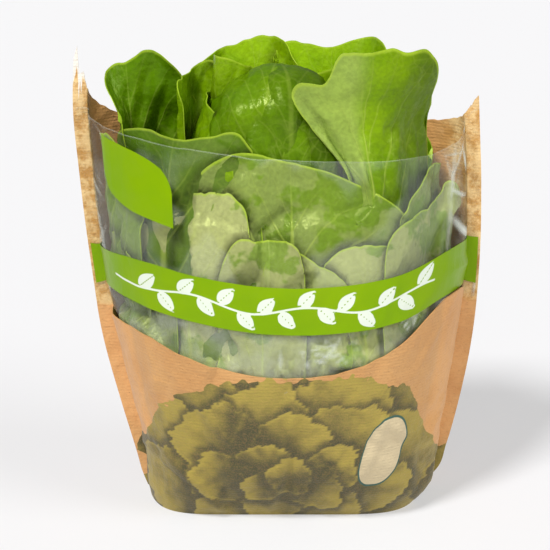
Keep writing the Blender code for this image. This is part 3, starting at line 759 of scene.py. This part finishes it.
PRINT_SEED = 5
PRINT_TOP = [(-0.092, 0.020), (-0.086, 0.040), (-0.072, 0.077), (-0.049, 0.097), (-0.022, 0.103),
             (0.031, 0.103), (0.044, 0.108), (0.061, 0.0995), (0.079, 0.093), (0.090, 0.060),
             (0.103, 0.026)]
PRINT_MIDDLE = (0.004, 0.030)  # x and z of the place that the printed leaves spread from
PRINT_SPREAD = (0.098, 0.062)
PRINT_LEAVES = 30
PRINT_TURN = 2.4  # angle between a printed leaf and the next one farther in
PRINT_SHADOW = 0.007  # width of the dark border that a printed leaf casts on those behind it
PRINT_RIM = [(0.18, 1.5, 9), (0.06, 4, 29), (0.05, 11, 50)]  # size, number and start of a rim's waves
PRINT_BLUR = 0.004
PAPER_PATCH = (0.063, 0.051, 0.0125, 0.023)  # middle x and z, half width and half height
PATCH_SLANT = 0.25
PATCH_SQUARE = 2.4  # 2 is an oval, more is squarer


def paper_relief(points, seed):
    """Creases, facets and bumps of a paper sheet, faded out at its foot."""
    x, z = points[..., 0], points[..., 2]
    relief = creases(x, z, seed, **PAPER_CREASES) + 0.0006 * layered_noise(x * 45, z * 30, seed + 1)
    relief = relief + facets(x, z, seed + 2, **PAPER_FACETS)
    return relief * ease(0, 0.012, z)


def torn_mark(across, z, top):
    """1 where the paper's top was torn, falling to 0 some millimetres below it."""
    ragged = 0.014 + 0.008 * soft_noise(across * 12, z * 160, 7) - 0.010 * (across + SEAM)
    return ease(ragged, ragged - 0.002, top - z) * ease(-1.1, -1.3, across)


def back_sheet():
    across = np.linspace(-SEAM, SEAM, BACK_GRID[0])
    top = np.interp(across, *np.array(BACK_TOP).T) + 0.0007 * soft_noise(across * 24, 0 * across, 3)
    grid, z = strip(across, 0, top, BACK_GRID[1])
    points = sheet_points(grid, z, curve(BACK_DEPTH, z), 0)
    bulge = ease(1.0, 0.9, np.abs(grid))
    # the mottled gold of paper under the film on the seams, and painted light on the back sheet's right part,
    # which lies in shade
    gold_and_painted_light = np.maximum(ease(0.96, 1.02, np.abs(grid)), ease(0.62, 0.85, grid))
    gold_and_painted_light = gold_and_painted_light * ease(-0.002, 0.002, z - window_edge(grid))
    points = raised(points, paper_relief(points, CREASE_SEED) * (0.2 + 0.3 * bulge))
    marks = {"torn": torn_mark(grid, z, top), "seam": 1 - bulge, "gold_and_painted_light": gold_and_painted_light}
    return sheet_mesh("bag_back_sheet", points, PAPER, PLAIN_PAPER | marks)


def leaf_print(x, z):
    """A generic print of heaped frilly leaves: its edge (positive inside) and its tone from 0 to 1."""
    draw = np.random.default_rng(PRINT_SEED)
    below_top = np.interp(x, *np.array(PRINT_TOP).T) - z + 0.003 * layered_noise(x * 200, z * 200, 90)
    edge = np.full_like(x, -1.0)
    tone = np.full_like(x, 0.1)
    for k in range(PRINT_LEAVES):
        out = (1 - k / PRINT_LEAVES) ** 0.7
        way = PRINT_TURN * k
        at_x = PRINT_MIDDLE[0] + PRINT_SPREAD[0] * out * math.sin(way)
        at_z = PRINT_MIDDLE[1] + PRINT_SPREAD[1] * out * math.cos(way)
        tilt = way + draw.uniform(-0.6, 0.6)
        long = draw.uniform(0.85, 1.15) * (0.012 + 0.028 * out)
        wide = draw.uniform(0.8, 1.15) * long
        u = ((x - at_x) * math.cos(tilt) - (z - at_z) * math.sin(tilt)) / wide
        v = ((x - at_x) * math.sin(tilt) + (z - at_z) * math.cos(tilt)) / long
        angle, away, seed = np.arctan2(u, v), np.hypot(u, v), int(draw.integers(1000))
        waves = [size * soft_noise(angle * count + start, 0 * u, seed) for size, count, start in PRINT_RIM]
        inside = (sum(waves, 1) - away) * wide
        pleats = soft_noise(angle * 4 + 29, away * 1.2, seed) * ease(0.1, 0.8, away)
        shade = 0.10 + 0.66 * ease(-0.4, 1, v) + draw.uniform(-0.2, 0.2) * u + draw.uniform(-0.1, 0.1)
        shade = shade + 0.20 * pleats + 0.24 * np.exp(-(((inside - 0.0008) / 0.0009) ** 2))
        shadow = 0.3 + 0.7 * ease(0, PRINT_SHADOW, -inside)
        tone = np.where(inside > 0, shade, tone * shadow)
        edge = np.maximum(edge, inside)
    return np.minimum(edge, below_top), np.clip(tone, 0, 1)


def patch_edge(x, z):
    """How far inside the print's plain rounded patch a place is."""
    at_x, at_z, half_x, half_z = PAPER_PATCH
    u = (x - at_x - PATCH_SLANT * (z - at_z)) / half_x
    v = (z - at_z) / half_z
    return (1 - (np.abs(u) ** PATCH_SQUARE + np.abs(v) ** PATCH_SQUARE) ** (1 / PATCH_SQUARE)) * half_x


def front_pocket():
    across = np.linspace(-SEAM, SEAM, POCKET_GRID[0])
    grid, z = strip(across, 0, window_edge(across), POCKET_GRID[1])
    points = sheet_points(grid, z, -curve(FRONT_DEPTH, z), PAPER / 2)
    bulge = ease(1.0, 0.85, np.abs(grid))
    x = points[..., 0]
    edge, tone = leaf_print(x, z)
    fold = np.clip(1 - np.abs(np.abs(grid) - SIDE_FOLD) / SIDE_FOLD_WIDTH, 0, 1)
    relief = paper_relief(points, CREASE_SEED + 9) * bulge
    relief = relief - SIDE_FOLD_DEPTH * fold * ease(0, 0.02, z)
    points = raised(points, relief)
    marks = {
        "print": np.clip(edge / PRINT_BLUR, -1, 1),
        "tone": tone,
        "patch": np.clip(patch_edge(x, z) / PRINT_BLUR, -1, 1),
        "front": 1 - ease(SIDE_FOLD - 0.02, SIDE_FOLD + 0.03, np.abs(grid)),
        "seam": 1 - bulge,
    }
    return sheet_mesh("bag_front_pocket", points, PAPER, PLAIN_PAPER | marks)


def bag_floor():
    across = np.linspace(-SEAM, SEAM, FLOOR_GRID[0])
    zero = np.zeros((1, len(across)))
    front = sheet_points(across[None], zero, -curve(FRONT_DEPTH, zero), PAPER / 2)
    back = sheet_points(across[None], zero, curve(BACK_DEPTH, zero), 0)
    share = np.linspace(FLOOR_INSET, 1 - FLOOR_INSET, FLOOR_GRID[1])[:, None, None]
    points = front * (1 - share) + back * share
    points[..., 2] = PAPER / 2
    normals = np.broadcast_to([0.0, 0.0, 1.0], points.shape)
    return sheet_mesh("bag_floor", points, PAPER, PLAIN_PAPER, normals)


# painted light: the front, the sides and the back sheet are one paper, painted darker on the front than on
# the sides and the back sheet, for how light falls on them
KRAFT_FRONT = linear(208, 158, 98)
KRAFT_SIDE = linear(220, 164, 100)
KRAFT_SEAM = linear(222, 170, 110)
KRAFT_DARK = linear(170, 108, 52)
KRAFT_FLECK = linear(120, 76, 42)
TORN_PLY = linear(240, 232, 220)
# gold of paper under the film, also used as painted light on the back sheet's right part
GOLD_LIGHT = linear(240, 206, 146)
GOLD_DARK = linear(200, 148, 74)
PRINT_LIGHT = linear(160, 144, 58)
PRINT_DARK = linear(58, 64, 34)
PATCH_PALE = linear(204, 186, 148)
PATCH_RIM = linear(46, 88, 76)
PAPER_RIBS = {"Scale": 155.0, "Distortion": 1.2, "Detail": 2.0}  # fine ribs, level across the front


def paper_look():
    """Brown fibrous paper with its print, patch and torn ply, painted light that makes the front darker than
    the sides, and gold parts that are partly painted light, drawn from the sheets' marks.
    """
    look = Look("kraft_paper")
    blend, ramp, noise, times = look.blend, look.ramp, look.noise, look.times
    # painted light: the sides and the back sheet lighter than the front
    kraft = blend(look.mark("front"), KRAFT_SIDE, KRAFT_FRONT)
    kraft = blend(look.mark("seam"), kraft, KRAFT_SEAM)
    cloud = ramp(noise(26, 5, 0.6), 0.35, 0.7)
    kraft = blend(times(cloud, 0.30), kraft, KRAFT_DARK)
    gold_and_painted_light = blend(ramp(noise(85, 4, 0.7), 0.42, 0.6), GOLD_LIGHT, GOLD_DARK)
    # gold on the seams under the film, and painted light on the back sheet's right part
    kraft = blend(times(look.mark("gold_and_painted_light"), 0.85), kraft, gold_and_painted_light)
    fibres = noise(900, 4, 0.7, look.place((0.35, 1, 1)))
    kraft = blend(ramp(fibres, 0.45, 0.75, 0, 0.28), kraft, KRAFT_DARK)
    flecks = ramp(noise(1500, 2, 0.5, look.place((0.3, 1, 1))), 0.66, 0.74, 0, 0.5)
    kraft = blend(flecks, kraft, KRAFT_FLECK)
    inputs = {"Vector": look.place()} | PAPER_RIBS
    ribs = look.node("TexWave", inputs, wave_type="BANDS", bands_direction="Z").outputs["Fac"]
    kraft = blend(times(ribs, times(look.mark("front"), 0.10)), kraft, KRAFT_DARK)
    tone = look.plus(look.mark("tone"), times(look.minus(noise(120, 4), 0.5), 0.6))
    ink = blend(ramp(tone, 0.0, 0.95), PRINT_DARK, PRINT_LIGHT)
    grain = ramp(noise(1200, 2), 0.3, 0.6, 0.80, 0.96)
    inked = times(ramp(look.mark("print"), -0.02, 0.06), grain)
    kraft = blend(inked, kraft, ink)
    kraft = blend(ramp(look.mark("patch"), -0.16, -0.10), kraft, PATCH_RIM)
    kraft = blend(ramp(look.mark("patch"), 0.03, 0.09), kraft, PATCH_PALE)
    kraft = blend(look.mark("torn"), kraft, TORN_PLY)
    height = look.plus(times(fibres, 0.5), times(ribs, 0.4))
    normal = look.bump(height, 0.00025, 0.7)
    normal = look.bump(noise(55, 5, 0.62), 0.0034, 0.75, normal)
    inputs = {"Base Color": kraft, "Roughness": 0.62, "Normal": normal, "Sheen Weight": 0.08}
    surface = look.shader("Principled", inputs)
    return look.finish(look.mixed(0.06, surface, look.shader("Translucent", {"Color": kraft})))


def add_bag():
    look = paper_look()
    for mesh in (back_sheet(), front_pocket(), bag_floor()):
        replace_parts(add_piece(mesh.name, mesh, look), "paper_bag")


# Film and its print
FILM_GRID = (260, 130)
FILM_SHARE = 0.97  # how far out the film reaches, as a share of the sheets
FILM_CREASES = {"count": 110, "depth": 0.0014, "upright": 0.55, "length": 0.035, "width": 0.004}
# painted highlights: white lines along fine and broad crinkles, standing in for their glints
FINE_GLINTS = {"count": 420, "depth": 1.0, "upright": 0.45, "length": 0.010, "width": 0.0009}
BROAD_GLINTS = {"count": 170, "depth": 1.0, "upright": 0.6, "length": 0.030, "width": 0.0015}
GLINTS = (0.4, 1.3)  # how bright the painted glints are at the left and at the right


def film_points(across, z, lift=0.0):
    """Places on the film's crinkled middle, or lift outside it."""
    points = sheet_points(across, z, -(curve(FRONT_DEPTH, z) - 2 * FILM_INSET), FILM_INSET)
    points[..., 0] -= np.sin(np.clip(across, -1, 1) * math.pi / 2) * FILM_INSET
    x = points[..., 0]
    free = ease(0.003, 0.016, z - window_edge(across))
    bulge = ease(1.0, 0.9, np.abs(across))
    sides = 0.25 + 0.75 * ease(0.55, 0.85, np.abs(across))
    wrinkle = creases(x, z, 61, **FILM_CREASES)
    relief = 0.0010 + wrinkle * sides + 0.0004 * layered_noise(x * 60, z * 50, 63)
    relief = np.maximum(relief * free * bulge, -0.0002)
    return raised(points, relief + lift)


def film_sheet():
    across = np.linspace(-SEAM * FILM_SHARE, SEAM * FILM_SHARE, FILM_GRID[0])
    lap = FILM_LAP * np.clip((LAP_ENDS - np.abs(across)) / LAP_RUNS_OUT, 0, 1)
    foot_gap = FILM_FOOT_GAP * ease(LAP_ENDS - 0.02, LAP_ENDS + 0.02, np.abs(across))
    high = curve(FILM_TOP, across) + 0.0006 * soft_noise(across * 14, 0 * across, 66)
    grid, z = strip(across, window_edge(across) - lap + foot_gap, high, FILM_GRID[1])
    points = film_points(grid, z)
    x = points[..., 0]
    aside, above = np.abs(grid), z - window_edge(grid)
    shown = ease(0.60, 0.85, aside) * ease(1.02, 0.96, aside)
    shown = np.clip(shown + ease(0.030, 0.008, above) * 0.5, 0, 1)
    # painted glints along the crinkles
    glints = np.abs(creases(x, z, 77, **FINE_GLINTS)) + np.abs(creases(x, z, 78, **BROAD_GLINTS))
    glints = np.clip(glints, 0, 1) * shown * ease(0.0, 0.010, above)
    marks = {
        "rim": ease(0.0009, 0.0001, high - z),
        "painted_glint": glints * np.where(grid < 0, *GLINTS),
        "seam": ease(0.93, 1.0, aside),
        "damp": ease(0, 0.003, curve(BAND_FOOT, grid) - z) * ease(0.9, 0.7, aside),
        "fog": np.clip(0.5 + 0.5 * layered_noise(x * 25, z * 25, 71), 0, 1),
    }
    return sheet_mesh("window_film_sheet", points, FILM, marks)


def film_crinkle(look):
    """Small crinkles, longer upright than across, shared by the film and the ink on it."""
    return look.noise(130, 3, 0.55, look.place((1, 1, 0.6)))


def film_look():
    """Clear glossy film, whitish where it is damp or fogged and at its cut rim, with painted glints: whitish
    lines along its creases.
    """
    look = Look("clear_film")
    normal = look.bump(film_crinkle(look), 0.0016, 0.5)
    gloss = look.shader("Glossy", {"Color": WHITE, "Roughness": 0.06, "Normal": normal})
    clear = look.shader("Transparent", {"Color": (0.99, 0.99, 0.98, 1)})
    haze = look.shader("Principled", {"Base Color": linear(226, 232, 222), "Roughness": 0.5})
    fog = look.ramp(look.mark("fog"), 0.42, 0.58, 0.0, 0.045)
    damp = look.ramp(look.noise(70, 3), 0.3, 0.7, 0.0, 0.08)
    fog = look.plus(fog, look.times(look.mark("damp"), damp))
    fog = look.times(fog, look.unless(look.mark("seam")))
    fog = look.most(fog, look.times(look.mark("rim"), 0.12))
    # painted glints: whitish haze along the creases, for their highlights
    fog = look.most(fog, look.times(look.mark("painted_glint"), 0.75))
    grazing = look.node("LayerWeight", {"Blend": 0.5, "Normal": normal}).outputs["Facing"]
    mirror = look.plus(look.times(look.math("POWER", grazing, 5.0), 0.16), 0.006)
    return look.finish(look.mixed(mirror, look.mixed(fog, clear, haze), gloss))


BAND_GRID = (400, 52)
BAND_SHARE = 0.965
VINE_WAVE = 0.0026  # height of the stem's waves, and how fast they follow one another
VINE_RATE = 95
VINE_LEAVES = 7  # leaves to each side of the middle one
VINE_TILT = math.radians(46)
VINE_ENDS = (0.100, 0.092)
MOTIF_BLUR = 0.001


def sprig(x, z):
    """A generic vine of small leaves: positive inside its lines and leaves. z is from the band's middle."""
    field = 0.00065 - np.abs(z - VINE_WAVE * np.sin(x * VINE_RATE))
    long, wide, rib, pitch = 0.0150, 0.0042, 0.0003, 0.0118
    for k in range(-VINE_LEAVES, VINE_LEAVES + 1):
        up = 1 if k % 2 else -1
        at_x = k * pitch
        foot = VINE_WAVE * math.sin(at_x * VINE_RATE)
        u = (x - at_x) * math.cos(VINE_TILT) + up * (z - foot) * math.sin(VINE_TILT)
        v = -(x - at_x) * math.sin(VINE_TILT) + up * (z - foot) * math.cos(VINE_TILT)
        share = np.clip(u / long, 0, 1)
        blade = wide * np.sin(math.pi * share**0.8) - np.abs(v)
        blade = np.where((u > 0) & (u < long), blade, -MOTIF_BLUR)
        field = np.maximum(field, np.minimum(blade, np.abs(v) - rib))
    reach = ease(*VINE_ENDS, np.abs(x + 0.002))
    return np.where(reach > 0.5, field, -MOTIF_BLUR)


def green_band():
    across = np.linspace(-SEAM * BAND_SHARE, SEAM * BAND_SHARE, BAND_GRID[0])
    foot, top = curve(BAND_FOOT, across), curve(BAND_TOP, across)
    grid, z = strip(across, foot, top, BAND_GRID[1])
    points = film_points(grid, z, INK_LIFT)
    marks = {"motif": np.clip(sprig(points[..., 0], z - (foot + top) / 2) / MOTIF_BLUR, -1, 1)}
    return sheet_mesh("film_green_band", points, INK, marks)


PATCH_ACROSS = (-0.715, -0.365)
PATCH_TOP_Z = (0.2405, 0.2290)  # at its left and at its right
PATCH_HEIGHT = 0.036


def green_patch():
    """A plain patch near the film's left: a square with two opposite corners well rounded."""
    side = np.linspace(-1, 1, 60)
    u, v = np.meshgrid(side, side)
    round_u, round_v = rounded(u, v)
    rounding = 0.8 * (u * v > 0)
    u, v = u + (round_u - u) * rounding, v + (round_v - v) * rounding
    across = PATCH_ACROSS[0] + (PATCH_ACROSS[1] - PATCH_ACROSS[0]) * (u + 1) / 2
    top = PATCH_TOP_Z[0] + (PATCH_TOP_Z[1] - PATCH_TOP_Z[0]) * (u + 1) / 2
    points = film_points(across, top - PATCH_HEIGHT * (1 - v) / 2, INK_LIFT)
    return sheet_mesh("film_green_patch", points, INK, {"motif": -1.0})


BAND_GREEN = linear(132, 168, 0)
BAND_DEEP = linear(108, 156, 0)
MOTIF_WHITE = linear(226, 234, 218)


def ink_look():
    look = Look("film_print")
    colour = look.blend(look.ramp(look.noise(30), 0.3, 0.7, 0.0, 0.35), BAND_GREEN, BAND_DEEP)
    colour = look.blend(look.ramp(look.mark("motif"), -0.08, 0.12), colour, MOTIF_WHITE)
    normal = look.bump(film_crinkle(look), 0.0012, 0.4)
    inputs = {"Base Color": colour, "Roughness": 0.32, "Normal": normal, "Specular IOR Level": 0.14}
    surface = look.shader("Principled", inputs)
    return look.finish(look.mixed(0.88, look.shader("Transparent", {"Color": WHITE}), surface))


def add_film():
    film = add_piece("window_film_sheet", film_sheet(), film_look())
    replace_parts(film, "window_film")
    ink = ink_look()
    for mesh in (green_band(), green_patch()):
        add_piece(mesh.name, mesh, ink)


# Root plug
PLUG_GRID = (110, 60)
PEAT_DARK = linear(48, 34, 24)
PEAT_LIGHT = linear(104, 78, 52)
ROOT_PALE = linear(214, 198, 164)


def plug_mesh():
    """The plug's lumpy wall and rough top, with a hole that the stem stands in."""
    sides, steps = PLUG_GRID
    inward, upward = 0.004, 0.002  # the cut at the foot
    foot, hole = PAPER + SHEET_GAP, STEM_RADIUS + SHEET_GAP
    share = np.linspace(0, 1, steps)[:, None]
    z = foot + upward + share * (PLUG_TOP_Z - foot - upward)
    angle = np.linspace(0, 2 * math.pi, sides, endpoint=False)[None, :]
    radius = PLUG_RADIUS_FOOT + share * (PLUG_RADIUS_TOP - PLUG_RADIUS_FOOT)
    radius = radius + 0.0018 * np.sin(9 * angle + 40 * z) * np.sin(math.pi * share)
    radius = radius + 0.0009 * layered_noise(angle * 12 + 3 * np.sin(angle), z * 260, 81)
    rings = [ring_at(PLUG_RADIUS_FOOT - inward, foot, angle), ring_at(radius, z, angle)]
    for ring in np.linspace(PLUG_RADIUS_TOP - 0.003, hole, 12):
        rough = 0.0005 * layered_noise(angle * 9, 0 * angle + ring * 300, 83)
        rough = rough * (ring > hole + 0.002)
        rings.append(ring_at(ring, PLUG_TOP_Z - 0.0006 + rough, angle))
    rings.append(ring_at(hole, STEM_BOTTOM_Z - SHEET_GAP, angle))
    return turned_mesh("root_plug_peat", np.concatenate(rings))


def plug_look():
    look = Look("peat_and_roots")
    base = look.blend(look.ramp(look.noise(260, 4, 0.7), 0.35, 0.7), PEAT_DARK, PEAT_LIGHT)
    strands = look.cracks(120, look.place((1, 1, 0.25)))
    base = look.blend(look.unless(look.ramp(strands, 0.02, 0.08)), base, ROOT_PALE)
    normal = look.bump(look.noise(300, 4, 0.7), 0.0015)
    return look.finish(look.shader("Principled", {"Base Color": base, "Roughness": 0.9, "Normal": normal}))


def add_plug():
    plug = add_piece("root_plug_peat", plug_mesh(), plug_look())
    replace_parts(plug, "root_plug")


# Studio
FLOOR_HALF = 3.0
FLOOR_GREY = (0.42, 0.417, 0.425, 1)
FLOOR_GLOW = 0.415  # a white floor lit from below too, so that shadows on it are faint
# Each light's elevation, azimuth, spread and strength.
SUNS = {"key": (52, -38, 12, 3.1), "side": (32, 62, 32, 1.45), "fill": (14, 0, 40, 0.5)}
CAMERA_SHIFT = 3 / 550  # three of the picture's 550 pixels, to the left and up


def add_floor():
    mesh = bpy.data.meshes.new("floor")
    corners = [(x * FLOOR_HALF, y * FLOOR_HALF, 0) for x, y in ((-1, -1), (1, -1), (1, 1), (-1, 1))]
    mesh.from_pydata(corners, [], [(0, 1, 2, 3)])
    floor = bpy.data.objects.new("floor", mesh)
    bpy.context.scene.collection.objects.link(floor)
    look = Look("studio_floor")
    inputs = {"Base Color": FLOOR_GREY, "Roughness": 1.0, "Specular IOR Level": 0.0,
              "Emission Color": WHITE, "Emission Strength": FLOOR_GLOW}
    mesh.materials.append(look.finish(look.shader("Principled", inputs)))


def add_sun(name, elevation, azimuth, spread, strength):
    """A soft light from far off. Azimuth 0 shines from the front, 90 from the right."""
    light = bpy.data.lights.new(name, "SUN")
    light.angle = math.radians(spread)
    light.energy = strength
    lamp = bpy.data.objects.new(name, light)
    bpy.context.scene.collection.objects.link(lamp)
    lamp.rotation_euler = (math.radians(90 - elevation), 0, math.radians(azimuth))
    lamp.visible_glossy = name != "fill"


def add_camera():
    camera = bpy.data.objects.new("camera", bpy.data.cameras.new("camera"))
    bpy.context.scene.collection.objects.link(camera)
    camera.location = (0, -1.1413, 0.5108)
    camera.rotation_euler = (math.radians(72), 0, 0)
    camera.data.lens = 125.7
    camera.data.sensor_width = 36
    camera.data.shift_x = -CAMERA_SHIFT
    camera.data.shift_y = CAMERA_SHIFT
    bpy.context.scene.camera = camera


def add_studio():
    add_floor()
    world = bpy.data.worlds.new("studio")
    world.use_nodes = True
    world.node_tree.nodes["Background"].inputs["Color"].default_value = WHITE
    world.node_tree.nodes["Background"].inputs["Strength"].default_value = 0.19
    bpy.context.scene.world = world
    for name, values in SUNS.items():
        add_sun(name, *values)
    add_camera()
    bpy.context.scene.view_settings.view_transform = "Standard"


add_studio()
add_leaves()
add_bag()
add_film()
add_plug()
